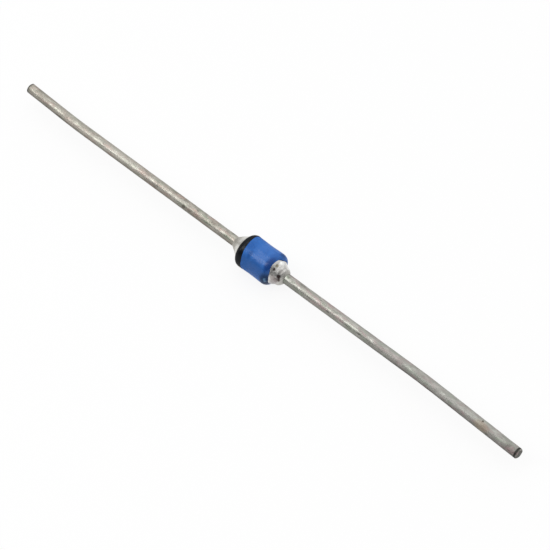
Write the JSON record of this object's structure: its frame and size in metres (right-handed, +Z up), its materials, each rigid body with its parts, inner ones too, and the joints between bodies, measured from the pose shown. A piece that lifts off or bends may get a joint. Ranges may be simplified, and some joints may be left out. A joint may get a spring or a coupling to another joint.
{
  "type": "axial rectifier diode",
  "caption": "Axial rectifier diode: a rounded glass-sealed barrel in glossy blue paint with a black cathode band, solder cones at its ends and long tinned wire leads.",
  "frame": {"origin": "the middle of the glass barrel, on its axis, halfway between the lead tips", "axes": "+X along the barrel from the banded cathode end to the anode end, +Y sideways, +Z up. The diode lies level on its barrel, and the soft bends of its leads are in the level X-Y plane."},
  "size_m": [0.0612, 0.0034, 0.0034],
  "materials": {
    "tinned_wire": "satin",
    "solder": "polished",
    "tungsten": "satin",
    "silicon": "polished",
    "bond_metal": "satin",
    "hard_glass": "polished",
    "blue_coat": "gloss",
    "black_band": "gloss"
  },
  "bodies": {
    "root": {"cathode_lead": "tinned_wire", "anode_lead": "tinned_wire", "cathode_braze": "solder", "anode_braze": "solder", "cathode_slug": "tungsten", "anode_slug": "tungsten", "silicon_die": "silicon", "cathode_die_bond": "bond_metal", "anode_die_bond": "bond_metal", "glass_sleeve": "hard_glass", "body_coat": "blue_coat", "cathode_band": "black_band"}
  },
  "joints": []
}
